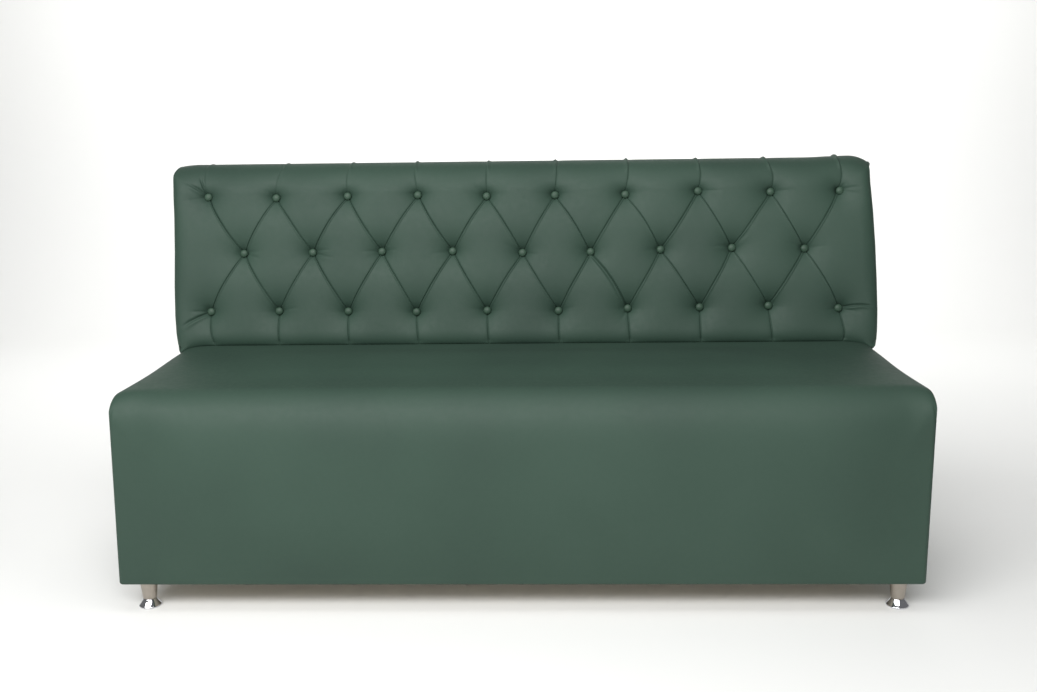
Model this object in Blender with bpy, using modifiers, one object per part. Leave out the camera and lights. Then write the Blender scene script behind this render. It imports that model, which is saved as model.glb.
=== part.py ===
"""Armless sofa with a waterfall seat, a deep-buttoned leaning back and four levelling feet.

Metres, +Z up, +X to the right as seen from the front, +Y towards the rear.
The origin is on the floor under the middle of the whole piece.
"""

import math

import bmesh
import bpy
from mathutils import Matrix, Vector

# Fits and sheet goods
FIT = 0.0003                # gap between two pieces that touch
COVER = 0.0015              # leatherette
BOARD = 0.018               # carcass boards
BOTTOM_BOARD = 0.015        # board that carries the feet and the back
DECK = 0.012                # board under the seat foam

# Seat
SEAT_WIDTH = 1.600
SEAT_DEPTH = 0.495          # front of the seat to the joint with the back
SEAT_HEIGHT = 0.462         # floor to the seat where the back stands on it
SEAT_CROWN = 0.007          # rise of the seat between its edges
SEAT_FOAM = 0.100
APRON_FOAM = 0.012          # foam over the front and the sides of the carcass
FRONT_RADIUS = 0.045        # waterfall edge
SIDE_RADIUS = 0.028         # top edge at each side
CORNER_RADIUS = 0.015       # upright edge at each front corner
HEM = 0.018                 # turn of the cover under the front
HEM_RADIUS = 0.005

# Back
BACK_OVERHANG = 0.0125      # how far the back stands out past the seat at each side
BACK_WIDTH = SEAT_WIDTH + 2 * BACK_OVERHANG
BACK_LEAN = math.radians(9.0)
BACK_FOOT = 0.084           # depth of the back where it runs down behind the seat
BACK_LENGTH = 0.404         # seat level to the top edge, along the lean
UPRIGHT_WIDTH = 0.040
UPRIGHT_DEPTH = 0.060
TOP_RAIL = 0.030
LOWER_RAIL = 0.045
LOWER_RAIL_DEPTH = 0.040
PANEL = 0.008
FOAM_SLAB = 0.029
TOP_PAD = 0.008             # tufted pad where it turns over the top rail
TOP_RADIUS = 0.036
BOTTOM_RADIUS = 0.030
PAD_SIDE_RADIUS = 0.020     # front edge of the pad at each side
PAD_TOP_SIDE_RADIUS = 0.003  # the same edge along the top

# Tufting
TUFT_PITCH = 0.1635
BOTTOM_ROW = 0.081          # lowest row above the seat, along the lean
TOP_ROW = 0.0763            # top row below the top edge, along the lean
TUFT_MARGIN = 0.050         # least distance of a button from the side
TUFT_DEPTH = 0.030
TUFT_REACH = 0.060          # radius of the hollow round a button
PAD_BASE = 0.007            # pad left under a button
PLEAT_DEPTH = 0.009
TOP_PLEAT = 0.003           # depth of a pleat on the top edge

# Buttons
BUTTON_RADIUS = 0.0085
BUTTON_HEIGHT = 0.0060
TWINE_RADIUS = 0.0015
TWINE_CLEARANCE = 0.0008
TOGGLE_RADIUS = 0.008
TOGGLE_THICKNESS = 0.003

# Feet
FOOT_HEIGHT = 0.064
FOOT_TOP_RADIUS = 0.0185
FOOT_WAIST_RADIUS = 0.0135
FOOT_BASE_RADIUS = 0.0225
FLARE_HEIGHT = 0.017
FLARE_LIP = 0.003
FOOT_SIDE_INSET = 0.041     # foot axis to the side of the seat
FOOT_FRONT_INSET = 0.045    # foot axis to the front, and to the rear
STUD_RADIUS = 0.004
STUD_CLEARANCE = 0.0001
STUD_LENGTH = 0.040
STUD_SEAT = 0.006           # floor to the lower end of the stud

# Facets
ROUND_STEPS = 24
BUTTON_STEPS = 10
HOLE_SIDES = 6
FILLET_STEPS = 3
EDGE_STEPS = 2
SEAT_STEPS = 5

# Levels that follow from the sizes
SIN_LEAN = math.sin(BACK_LEAN)
COS_LEAN = math.cos(BACK_LEAN)
DEPTH = SEAT_DEPTH + FIT + BACK_FOOT + BACK_LENGTH * SIN_LEAN
Y_FRONT = -DEPTH / 2
Y_SEAT_REAR = Y_FRONT + SEAT_DEPTH
Y_KNEE = Y_SEAT_REAR + FIT + BACK_FOOT
Z_BASE = FOOT_HEIGHT + FIT
Z_HEM = Z_BASE - FIT - COVER
Z_DECK = SEAT_HEIGHT - COVER - FIT - SEAT_FOAM - FIT
Z_CARCASS = Z_BASE + BOTTOM_BOARD + FIT
X_CARCASS = SEAT_WIDTH / 2 - COVER - FIT - APRON_FOAM - FIT
Y_CARCASS = Y_FRONT + COVER + FIT + APRON_FOAM + FIT
X_BACK = BACK_WIDTH / 2 - COVER - FIT
N_REAR = COVER + FIT
N_FRAME = N_REAR + UPRIGHT_DEPTH
N_PANEL = N_FRAME + FIT
N_SLAB = N_PANEL + PANEL + FIT
N_PAD = N_SLAB + FOAM_SLAB + FIT
N_TUFT = N_PAD + PAD_BASE
N_CREST = N_TUFT + TUFT_DEPTH
U_TOP_IN = BACK_LENGTH - TOP_PAD
U_RAIL = U_TOP_IN - FIT - TOP_RAIL
TOP_COUNT = int((2 * X_BACK - 2 * TUFT_MARGIN) / TUFT_PITCH) + 1
X_FIRST = -TUFT_PITCH * (TOP_COUNT - 1) / 2


def clear_scene():
    for obj in list(bpy.data.objects):
        bpy.data.objects.remove(obj, do_unlink=True)


def new_collection(name):
    collection = bpy.data.collections.new(name)
    bpy.context.scene.collection.children.link(collection)
    return collection


def new_material(name, colour, roughness, metallic=0.0):
    material = bpy.data.materials.new(name)
    material.use_nodes = True
    shader = material.node_tree.nodes["Principled BSDF"]
    shader.inputs["Base Color"].default_value = (*colour, 1.0)
    shader.inputs["Roughness"].default_value = roughness
    shader.inputs["Metallic"].default_value = metallic
    material.diffuse_color = (*colour, 1.0)
    return material


def add_object(name, data, collection, material=None, parent=None):
    obj = bpy.data.objects.new(name, data)
    collection.objects.link(obj)
    if material is not None:
        data.materials.append(material)
    obj.parent = parent
    return obj


def mesh_from(bm, name):
    mesh = bpy.data.meshes.new(name)
    bm.to_mesh(mesh)
    bm.free()
    return mesh


def add_box(name, low, high, collection, material=None, parent=None):
    """Box between two corners, in its parent's frame."""
    low = Vector(low)
    high = Vector(high)
    bm = bmesh.new()
    bmesh.ops.create_cube(bm, size=1.0)
    bmesh.ops.scale(bm, vec=high - low, verts=bm.verts)
    obj = add_object(name, mesh_from(bm, name), collection, material, parent)
    obj.location = (low + high) / 2
    return obj


def add_outline(name, outline, low_x, high_x, collection, material):
    """Flat outline in Y and Z, given its thickness along X."""
    curve = bpy.data.curves.new(name, "CURVE")
    curve.dimensions = "2D"
    curve.fill_mode = "BOTH"
    curve.extrude = (high_x - low_x) / 2
    spline = curve.splines.new("POLY")
    spline.points.add(len(outline) - 1)
    for point, (y, z) in zip(spline.points, outline):
        point.co = (y, z, 0.0, 1.0)
    spline.use_cyclic_u = True
    obj = add_object(name, curve, collection, material)
    obj.rotation_euler = (math.radians(90), 0.0, math.radians(90))
    obj.location.x = (low_x + high_x) / 2
    return obj


def add_turned(name, profile, steps, collection, material, parent):
    """Profile of radius and height turned about the local Z axis."""
    bm = bmesh.new()
    verts = [bm.verts.new((radius, 0.0, height)) for radius, height in profile]
    for start, end in zip(verts, verts[1:]):
        bm.edges.new((start, end))
    obj = add_object(name, mesh_from(bm, name), collection, material, parent)
    screw = obj.modifiers.new("Turn", "SCREW")
    screw.axis = "Z"
    screw.angle = math.radians(360)
    screw.steps = steps
    screw.render_steps = steps
    screw.use_merge_vertices = True
    screw.merge_threshold = 0.00001
    screw.use_smooth_shade = True
    return obj


def cut(obj, cutter):
    boolean = obj.modifiers.new("Cut", "BOOLEAN")
    boolean.operation = "DIFFERENCE"
    boolean.object = cutter


def as_cutter(obj):
    obj.hide_render = True
    obj.display_type = "WIRE"
    return obj


def grid_surface(bm, columns, rows, place):
    """Grid whose vertices are put where place(column, row) says."""
    made = bmesh.ops.create_grid(bm, x_segments=columns, y_segments=rows, size=0.5)
    for vert in made["verts"]:
        i = round((vert.co.x + 0.5) * columns)
        j = round((vert.co.y + 0.5) * rows)
        vert.co = place(i, j)
    return made["verts"]


def fillet(before, corner, after, radius, steps):
    """Points of an arc that rounds the corner between two lines."""
    corner = Vector(corner)
    to_before = (Vector(before) - corner).normalized()
    to_after = (Vector(after) - corner).normalized()
    half_angle = to_before.angle(to_after) / 2
    centre = corner + (to_before + to_after).normalized() * radius / math.sin(half_angle)
    start = corner + to_before * radius / math.tan(half_angle) - centre
    sweep = start.angle_signed(corner + to_after * radius / math.tan(half_angle) - centre)
    points = []
    for step in range(steps + 1):
        turned = start.copy()
        turned.rotate(Matrix.Rotation(-sweep * step / steps, 2))
        points.append(centre + turned)
    return points


def back_point(n, u):
    """Point n in front of the rear face and u up the lean from seat level, as Y and Z."""
    return Vector((Y_KNEE + u * SIN_LEAN - n * COS_LEAN, SEAT_HEIGHT + u * COS_LEAN + n * SIN_LEAN))


def seat_level(n):
    """Place along the lean where depth n meets the plane that the back stands on."""
    return (FIT - n * SIN_LEAN) / COS_LEAN


def row_pitch():
    """Step between two rows of buttons, which share out the height between the lowest and the top one."""
    return (BACK_LENGTH - TOP_ROW - BOTTOM_ROW - seat_level(N_CREST)) / 2


def knee(n):
    """Bend between the upright and the leaning plane at depth n."""
    return back_point(n, n * (COS_LEAN - 1.0) / SIN_LEAN)


# Seat form

def seat_stations(inset):
    """Places along X with the roundness there, from 0 on the flat to 1 at the side."""
    half = SEAT_WIDTH / 2 - inset
    radius = SIDE_RADIUS - inset
    stations = []
    for step in range(SEAT_STEPS):
        angle = math.radians(90) * (1.0 - step / SEAT_STEPS)
        stations.append((-half + radius * (1.0 - math.sin(angle)), 1.0 - math.cos(angle)))
    for step in range(SEAT_STEPS + 1):
        stations.append(((half - radius) * (2.0 * step / SEAT_STEPS - 1.0), 0.0))
    stations += [(-x, roundness) for x, roundness in reversed(stations[:SEAT_STEPS])]
    return stations


def seat_section(x, roundness, inset):
    """Section of the seat in Y and Z at one place along X, from the rear over the front."""
    y_front = Y_FRONT + inset + (CORNER_RADIUS - inset) * roundness
    z_top = SEAT_HEIGHT - inset - (SIDE_RADIUS - inset) * roundness
    y_pad = back_point(N_CREST, seat_level(N_CREST)).x
    radius = FRONT_RADIUS - inset
    points = [Vector((Y_SEAT_REAR, z_top))]
    for step in range(SEAT_STEPS):
        along = step / SEAT_STEPS
        y = y_pad + (y_front + radius - y_pad) * along
        rise = SEAT_CROWN * (1.0 - (2.0 * x / SEAT_WIDTH) ** 2) * (1.0 - roundness)
        points.append(Vector((y, z_top + rise * math.sin(math.pi * along))))
    points += fillet((Y_SEAT_REAR, z_top), (y_front, z_top), (y_front, Z_HEM), radius, SEAT_STEPS)
    return points


def add_seat_cover(collection, material):
    stations = seat_stations(0.0)
    sections = []
    for x, roundness in stations:
        section = seat_section(x, roundness, 0.0)
        y_front = section[-1].x
        hem = Vector((y_front + HEM, Z_HEM))
        section += fillet(section[-1], (y_front, Z_HEM), hem, HEM_RADIUS, FILLET_STEPS)
        section.append(hem)
        sections.append([Vector((x, y, z)) for y, z in section])
    columns = len(stations) - 1
    rows = len(sections[0]) - 1
    bm = bmesh.new()
    grid_surface(bm, columns, rows, lambda i, j: sections[i][j])
    for section in (sections[0], sections[-1]):
        end = section[0].x
        side = [v for v in bm.verts if abs(v.co.x - end) < FIT / 10]
        side.sort(key=lambda v: min(range(rows + 1), key=lambda j: (v.co - section[j]).length))
        corner = bm.verts.new((end, Y_SEAT_REAR, Z_HEM))
        bm.faces.new(side + [corner])
    bmesh.ops.recalc_face_normals(bm, faces=bm.faces)
    highest = max(bm.faces, key=lambda face: face.calc_center_median().z)
    if highest.normal.z < 0.0:
        bmesh.ops.reverse_faces(bm, faces=bm.faces)
    obj = add_object("seat_cover", mesh_from(bm, "seat_cover"), collection, material)
    shell = obj.modifiers.new("Leatherette", "SOLIDIFY")
    shell.thickness = COVER
    shell.offset = -1.0
    return obj


def add_seat_foam(collection, cutters, material):
    inset = COVER + FIT
    stations = seat_stations(inset)
    sections = []
    for x, roundness in stations:
        section = seat_section(x, roundness, inset)
        rear = Vector((Y_SEAT_REAR, Z_BASE))
        corner = (section[-1].x, Z_BASE)
        section += fillet(section[-1], corner, rear, HEM_RADIUS - inset, FILLET_STEPS)
        section.append(rear)
        sections.append([Vector((x, y, z)) for y, z in section])
    around = len(sections[0])
    bm = bmesh.new()
    grid_surface(bm, len(stations) - 1, around, lambda i, j: sections[i][j % around])
    bmesh.ops.remove_doubles(bm, verts=bm.verts, dist=FIT / 100)
    bmesh.ops.holes_fill(bm, edges=[e for e in bm.edges if e.is_boundary], sides=0)
    bmesh.ops.recalc_face_normals(bm, faces=bm.faces)
    obj = add_object("seat_foam", mesh_from(bm, "seat_foam"), collection, material)
    hollow = as_cutter(add_box(
        "carcass_cutter",
        (-X_CARCASS - FIT, Y_CARCASS - FIT, Z_BASE - COVER),
        (X_CARCASS + FIT, Y_SEAT_REAR + BOARD, Z_DECK + FIT),
        cutters,
    ))
    cut(obj, hollow)
    return obj


def add_carcass(collection, material):
    inner_x = X_CARCASS - BOARD - FIT
    z_top = Z_DECK - DECK - FIT
    add_box("base_bottom_board", (-X_CARCASS, Y_CARCASS, Z_BASE),
            (X_CARCASS, Y_KNEE - N_REAR, Z_BASE + BOTTOM_BOARD), collection, material)
    add_box("base_left_board", (-X_CARCASS, Y_CARCASS, Z_CARCASS),
            (-X_CARCASS + BOARD, Y_SEAT_REAR, z_top), collection, material)
    add_box("base_right_board", (X_CARCASS - BOARD, Y_CARCASS, Z_CARCASS),
            (X_CARCASS, Y_SEAT_REAR, z_top), collection, material)
    add_box("base_front_board", (-inner_x, Y_CARCASS, Z_CARCASS),
            (inner_x, Y_CARCASS + BOARD, z_top), collection, material)
    add_box("base_rear_board", (-inner_x, Y_SEAT_REAR - BOARD, Z_CARCASS),
            (inner_x, Y_SEAT_REAR, z_top), collection, material)
    add_box("base_centre_rib", (-BOARD / 2, Y_CARCASS + BOARD + FIT, Z_CARCASS),
            (BOARD / 2, Y_SEAT_REAR - BOARD - FIT, z_top), collection, material)
    add_box("seat_deck", (-X_CARCASS, Y_CARCASS, Z_DECK - DECK),
            (X_CARCASS, Y_SEAT_REAR, Z_DECK), collection, material)


# Back form

def button_rows():
    """Row name, place along the lean and places along X, lowest row first."""
    u_bottom = seat_level(N_CREST) + BOTTOM_ROW
    wide = [X_FIRST + TUFT_PITCH * k for k in range(TOP_COUNT)]
    narrow = [X_FIRST + TUFT_PITCH * (k + 0.5) for k in range(TOP_COUNT - 1)]
    return [
        ("bottom", u_bottom, wide),
        ("mid", u_bottom + row_pitch(), narrow),
        ("top", u_bottom + 2 * row_pitch(), wide),
    ]


def pad_profile():
    """Outer section of the pad: point, place along the lean, and share of the front it is."""
    rows = button_rows()
    low = seat_level(N_CREST)
    inner = back_point(N_PAD, seat_level(N_PAD))
    bottom = back_point(N_CREST, low)
    top = back_point(N_CREST, BACK_LENGTH)
    rear = back_point(N_REAR, BACK_LENGTH)
    profile = [(inner, low - BOTTOM_RADIUS, 0.0)]
    for step, point in enumerate(fillet(inner, bottom, top, BOTTOM_RADIUS, EDGE_STEPS)):
        share = step / EDGE_STEPS
        profile.append((point, low + BOTTOM_RADIUS * share, share))
    for (_, u, _), (_, u_next, _) in zip(rows, rows[1:]):
        profile.append((back_point(N_CREST, u), u, 1.0))
        profile.append((back_point(N_CREST, (u + u_next) / 2), (u + u_next) / 2, 1.0))
    profile.append((back_point(N_CREST, rows[-1][1]), rows[-1][1], 1.0))
    for step, point in enumerate(fillet(bottom, top, rear, TOP_RADIUS, FILLET_STEPS)):
        share = 1.0 - step / FILLET_STEPS
        profile.append((point, BACK_LENGTH - TOP_RADIUS * share, share))
    profile.append((rear, BACK_LENGTH + N_CREST - TOP_RADIUS, 0.0))
    return profile


def pad_stations():
    """Places along X that fall on the buttons and halfway to the pleats, with rounded ends."""
    stations = []
    for step in range(EDGE_STEPS + 1):
        angle = math.radians(90) * (1.0 - step / EDGE_STEPS)
        reach = PAD_SIDE_RADIUS * (1.0 - math.sin(angle))
        stations.append((-X_BACK + reach, 1.0 - math.cos(angle)))
    ends = [(-x, roundness) for x, roundness in reversed(stations)]
    quarters = 4 * (TOP_COUNT - 1)
    for quarter in range(quarters + 1):
        stations.append((X_FIRST + TUFT_PITCH * quarter / 4, 0.0))
    return stations + ends


def pleat_nearness(x, u):
    """1 on the line of a pleat, falling to 0 halfway to the next one."""
    rows = button_rows()
    across = 2.0 * (x - X_FIRST) / TUFT_PITCH
    up = (u - rows[1][1]) / row_pitch()
    if abs(up) > 1.0:
        line = min(max(2.0 * round(across / 2.0), 0.0), 2.0 * (TOP_COUNT - 1))
        return max(0.0, 1.0 - 2.0 * abs(across - line))
    nearness = 0.0
    for value in (across + up + 1.0, across - up + 1.0):
        line = min(max(2.0 * round(value / 2.0), 2.0), 2.0 * (TOP_COUNT - 1))
        nearness = max(nearness, 1.0 - 2.0 * abs(value - line))
    return nearness


def tuft_depth(x, u, share):
    """Depth of the sewn form below the crest: hollows at the buttons, pleats between them."""
    nearest = min(math.hypot(x - bx, u - row_u) for _, row_u, xs in button_rows() for bx in xs)
    hollow = TUFT_DEPTH * max(0.0, 1.0 - nearest / TUFT_REACH) ** 2
    deepest = TOP_PLEAT + (PLEAT_DEPTH - TOP_PLEAT) * share
    return max(hollow, deepest * pleat_nearness(x, u))


def pad_surface(stations):
    """Outer points of the pad, one list of sections along X."""
    profile = pad_profile()
    points = [entry[0] for entry in profile]
    last = len(points) - 1
    normals = []
    for j in range(last + 1):
        along = (points[min(j + 1, last)] - points[max(j - 1, 0)]).normalized()
        normals.append(Vector((-along.y, along.x)))
    sections = []
    for x, roundness in stations:
        section = []
        for j, (point, u, share) in enumerate(profile):
            edge = PAD_TOP_SIDE_RADIUS + (PAD_SIDE_RADIUS - PAD_TOP_SIDE_RADIUS) * share
            depth = roundness * edge if j > 0 else 0.0
            if 0 < j < last:
                depth += tuft_depth(x, u, share) * (1.0 - roundness)
            section.append(point - normals[j] * depth)
        sections.append(section)
    return sections


def add_tufted_pad(collection, cutter, material):
    stations = pad_stations()
    sections = pad_surface(stations)
    lining = [back_point(N_REAR, U_TOP_IN), back_point(N_PAD, U_TOP_IN)]
    loops = []
    for (x, _), section in zip(stations, sections):
        loops.append([Vector((x, y, z)) for y, z in section + lining])
    around = len(loops[0])
    bm = bmesh.new()
    grid_surface(bm, len(stations) - 1, around, lambda i, j: loops[i][j % around])
    bmesh.ops.remove_doubles(bm, verts=bm.verts, dist=FIT / 100)
    crease_pleats(bm)
    bmesh.ops.holes_fill(bm, edges=[e for e in bm.edges if e.is_boundary], sides=0)
    bmesh.ops.recalc_face_normals(bm, faces=bm.faces)
    obj = add_object("tufted_pad", mesh_from(bm, "tufted_pad"), collection, material)
    cut(obj, cutter)
    return obj


def crease_pleats(bm):
    """Split each four-sided face so that its fold runs along the pleat."""
    rear = back_point(0.0, 0.0)
    front = Vector((-COS_LEAN, SIN_LEAN))

    def height(vert):
        return (Vector((vert.co.y, vert.co.z)) - rear).dot(front)

    for face in list(bm.faces):
        a, b, c, d = face.verts
        if height(a) + height(c) <= height(b) + height(d):
            bmesh.utils.face_split(face, a, c)
        else:
            bmesh.utils.face_split(face, b, d)


def add_button_cutter(cutters, frame):
    """Holes for the twine through pad, foam and panel."""
    length = N_CREST + COVER
    bm = bmesh.new()
    for _, u, places in button_rows():
        for x in places:
            turn = Matrix.Translation((x, -length / 2, u)) @ Matrix.Rotation(math.radians(90), 4, "X")
            bmesh.ops.create_cone(bm, cap_ends=True, segments=HOLE_SIDES,
                                  radius1=TWINE_RADIUS + TWINE_CLEARANCE,
                                  radius2=TWINE_RADIUS + TWINE_CLEARANCE,
                                  depth=length, matrix=turn)
    return as_cutter(add_object("twine_cutter", mesh_from(bm, "twine_cutter"), cutters, None, frame))


def add_buttons(collection, frame, material):
    """Covered cap, twine and the toggle behind the panel, turned as one piece."""
    steepest = TUFT_DEPTH / min(TUFT_PITCH / 4, row_pitch() / 2)
    seat = BUTTON_RADIUS * steepest + FIT
    toggle = N_FRAME - FIT - N_TUFT
    profile = [(0.0, seat + BUTTON_HEIGHT)]
    for degrees in (35, 70):
        angle = math.radians(degrees)
        profile.append((BUTTON_RADIUS * math.sin(angle), seat + BUTTON_HEIGHT * math.cos(angle)))
    profile += [
        (BUTTON_RADIUS, seat),
        (TWINE_RADIUS, seat),
        (TWINE_RADIUS, toggle),
        (TOGGLE_RADIUS, toggle),
        (TOGGLE_RADIUS, toggle - TOGGLE_THICKNESS),
        (0.0, toggle - TOGGLE_THICKNESS),
    ]
    for row, u, places in button_rows():
        for number, x in enumerate(places, start=1):
            name = f"button_{row}_{number:02d}"
            button = add_turned(name, profile, BUTTON_STEPS, collection, material, frame)
            button.location = (x, -N_TUFT, u)
            button.rotation_euler = (math.radians(90), 0.0, 0.0)


def add_back_frame(collection, frame, material):
    """Dog-leg uprights, rails and the drilled panel's blank."""
    y_front = Y_SEAT_REAR + FIT
    u_upright = U_RAIL - FIT
    u_merge = (y_front - Y_KNEE + N_FRAME * COS_LEAN) / SIN_LEAN
    outline = [
        (Y_KNEE - N_REAR, Z_CARCASS),
        tuple(knee(N_REAR)),
        tuple(back_point(N_REAR, u_upright)),
        tuple(back_point(N_FRAME, u_upright)),
        tuple(back_point(N_FRAME, u_merge)),
        (y_front, Z_CARCASS),
    ]
    inner_x = X_BACK - UPRIGHT_WIDTH
    add_outline("back_upright_left", outline, -X_BACK, -inner_x, collection, material)
    add_outline("back_upright_right", outline, inner_x, X_BACK, collection, material)
    add_box("back_top_rail", (-X_BACK, -N_FRAME, U_RAIL),
            (X_BACK, -N_REAR, U_RAIL + TOP_RAIL), collection, material, frame)
    u_low = seat_level(N_PANEL)
    add_box("back_lower_rail", (-inner_x + FIT, -N_FRAME, u_low),
            (inner_x - FIT, -N_FRAME + LOWER_RAIL_DEPTH, u_low + LOWER_RAIL),
            collection, material, frame)


def add_back_layers(collection, cutter, frame, wood, foam):
    panel = add_box("back_panel", (-X_BACK, -N_PANEL - PANEL, seat_level(N_PANEL)),
                    (X_BACK, -N_PANEL, U_TOP_IN - FIT), collection, wood, frame)
    slab = add_box("back_foam", (-X_BACK, -N_SLAB - FOAM_SLAB, seat_level(N_SLAB)),
                   (X_BACK, -N_SLAB, U_TOP_IN - FIT), collection, foam, frame)
    cut(panel, cutter)
    cut(slab, cutter)


def add_back_covers(collection, material):
    """Side boxing that follows the rim of the pad, and the rear cover."""
    rim = pad_surface([(X_BACK, 1.0)])[0]
    y_joint = Y_SEAT_REAR + FIT
    outline = [(Y_KNEE - N_REAR, Z_BASE), tuple(knee(N_REAR))]
    outline += [tuple(point) for point in reversed(rim)]
    outline += [(y_joint, SEAT_HEIGHT + FIT), (y_joint, Z_BASE)]
    half = BACK_WIDTH / 2
    add_outline("back_side_left", outline, -half, -half + COVER, collection, material)
    add_outline("back_side_right", outline, half - COVER, half, collection, material)
    sheet = [
        (Y_KNEE, Z_BASE),
        tuple(knee(0.0)),
        tuple(back_point(0.0, BACK_LENGTH)),
        tuple(back_point(COVER, BACK_LENGTH)),
        tuple(knee(COVER)),
        (Y_KNEE - COVER, Z_BASE),
    ]
    add_outline("back_rear_cover", sheet, -half, half, collection, material)


# Feet

def add_foot(place, x, y, collection, satin, steel, polished):
    """Tapered sleeve, threaded stud and flared base on one upright axis."""
    axis = bpy.data.objects.new(f"foot_axis_{place}", None)
    collection.objects.link(axis)
    axis.location = (x, y, 0.0)
    bore = STUD_RADIUS + STUD_CLEARANCE
    stud_top = STUD_SEAT + STUD_LENGTH
    sleeve = [
        (0.0, FOOT_HEIGHT),
        (FOOT_TOP_RADIUS, FOOT_HEIGHT),
        (FOOT_WAIST_RADIUS, FLARE_HEIGHT + FIT),
        (bore, FLARE_HEIGHT + FIT),
        (bore, stud_top + FIT),
        (0.0, stud_top + FIT),
    ]
    stud = [(0.0, stud_top), (STUD_RADIUS, stud_top), (STUD_RADIUS, STUD_SEAT), (0.0, STUD_SEAT)]
    flare = [
        (0.0, STUD_SEAT - FIT),
        (bore, STUD_SEAT - FIT),
        (bore, FLARE_HEIGHT),
        (FOOT_WAIST_RADIUS, FLARE_HEIGHT),
        (FOOT_BASE_RADIUS, FLARE_LIP),
        (FOOT_BASE_RADIUS, 0.0),
        (0.0, 0.0),
    ]
    add_turned(f"foot_sleeve_{place}", sleeve, ROUND_STEPS, collection, satin, axis)
    add_turned(f"foot_stud_{place}", stud, ROUND_STEPS, collection, steel, axis)
    add_turned(f"foot_base_{place}", flare, ROUND_STEPS, collection, polished, axis)


def main():
    clear_scene()
    parts = new_collection("tufted_sofa")
    cutters = new_collection("tufted_sofa_cutters")
    leatherette = new_material("green_leatherette", (0.060, 0.100, 0.075), 0.45)
    capped = new_material("button_leatherette", (0.075, 0.120, 0.092), 0.42)
    plywood = new_material("birch_plywood", (0.560, 0.400, 0.240), 0.60)
    foam = new_material("upholstery_foam", (0.800, 0.740, 0.560), 0.95)
    satin = new_material("satin_steel", (0.560, 0.550, 0.530), 0.35, 1.0)
    steel = new_material("zinc_steel", (0.500, 0.500, 0.500), 0.40, 1.0)
    polished = new_material("polished_chrome", (0.780, 0.780, 0.780), 0.10, 1.0)

    lean = bpy.data.objects.new("back_axis", None)
    parts.objects.link(lean)
    lean.location = (0.0, Y_KNEE, SEAT_HEIGHT)
    lean.rotation_euler = (-BACK_LEAN, 0.0, 0.0)

    add_carcass(parts, plywood)
    add_seat_foam(parts, cutters, foam)
    add_seat_cover(parts, leatherette)

    holes = add_button_cutter(cutters, lean)
    add_back_frame(parts, lean, plywood)
    add_back_layers(parts, holes, lean, plywood, foam)
    add_tufted_pad(parts, holes, leatherette)
    add_buttons(parts, lean, capped)
    add_back_covers(parts, leatherette)

    x = SEAT_WIDTH / 2 - FOOT_SIDE_INSET
    y_front = Y_FRONT + FOOT_FRONT_INSET
    y_rear = Y_KNEE - FOOT_FRONT_INSET
    add_foot("front_left", -x, y_front, parts, satin, steel, polished)
    add_foot("front_right", x, y_front, parts, satin, steel, polished)
    add_foot("rear_left", -x, y_rear, parts, satin, steel, polished)
    add_foot("rear_right", x, y_rear, parts, satin, steel, polished)
    bpy.context.view_layer.update()


main()
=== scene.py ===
# Tufted sofa: covers, buttons, seams, feet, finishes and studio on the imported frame. Metres.
import math

import bmesh
import bpy
import numpy as np
from mathutils import Matrix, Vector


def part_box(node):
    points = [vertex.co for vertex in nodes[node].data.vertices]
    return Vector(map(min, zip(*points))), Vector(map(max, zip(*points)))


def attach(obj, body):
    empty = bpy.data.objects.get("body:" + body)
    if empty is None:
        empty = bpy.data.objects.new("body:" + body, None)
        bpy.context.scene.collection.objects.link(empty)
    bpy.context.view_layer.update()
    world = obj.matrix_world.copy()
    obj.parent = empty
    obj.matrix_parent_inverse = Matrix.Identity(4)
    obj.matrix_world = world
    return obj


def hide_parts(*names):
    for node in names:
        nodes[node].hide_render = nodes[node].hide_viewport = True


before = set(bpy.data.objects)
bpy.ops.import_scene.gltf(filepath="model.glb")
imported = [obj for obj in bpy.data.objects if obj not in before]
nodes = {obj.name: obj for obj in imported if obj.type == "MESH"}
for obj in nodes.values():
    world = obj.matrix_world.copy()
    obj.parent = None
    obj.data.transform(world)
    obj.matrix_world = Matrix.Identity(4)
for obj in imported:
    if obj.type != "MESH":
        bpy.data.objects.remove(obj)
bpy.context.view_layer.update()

rng = np.random.default_rng(7)


# small tools: numbers, meshes, nodes

def ease(low, high, value):
    # smooth step from 0 at low to 1 at high
    t = np.clip((value - low) / (high - low), 0, 1)
    return t * t * (3 - 2 * t)


def crowd(count, atStart=True, atEnd=True, share=0.75):
    # count steps from 0 to 1 that lie closer together at the marked ends
    t = np.linspace(0, 1, count + 1)
    if atStart and atEnd:
        bent = (1 - np.cos(np.pi * t)) / 2
    elif atEnd:
        bent = np.sin(np.pi * t / 2)
    elif atStart:
        bent = 1 - np.cos(np.pi * t / 2)
    else:
        bent = t
    return (1 - share) * t + share * bent


def softBend(count, power, settle=1.0):
    # quarter turn that starts straight: its direction is a power of the way along, eased at the end by settle,
    # summed over eight finer steps for each one kept; its two ways are each scaled to 1
    finer = 8
    way = (np.arange(finer * count) + 0.5) / (finer * count)
    angle = np.pi / 2 * (1 - (1 - way ** power) ** settle)
    away, along = (np.concatenate([[0], np.cumsum(step)])[::finer] for step in (np.sin(angle), np.cos(angle)))
    return away / away[-1], along / along[-1]


def gridFaces(rows, columns, closeRows=False, closeColumns=False, start=0):
    # four-sided faces over a grid of points, row by row; a closed direction meets its own start
    index = start + np.arange(rows * columns).reshape(rows, columns)
    index = np.vstack([index, index[:1]]) if closeRows else index
    index = np.hstack([index, index[:, :1]]) if closeColumns else index
    return np.stack([index[:-1, :-1], index[1:, :-1], index[1:, 1:], index[:-1, 1:]], -1).reshape(-1, 4).tolist()


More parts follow.
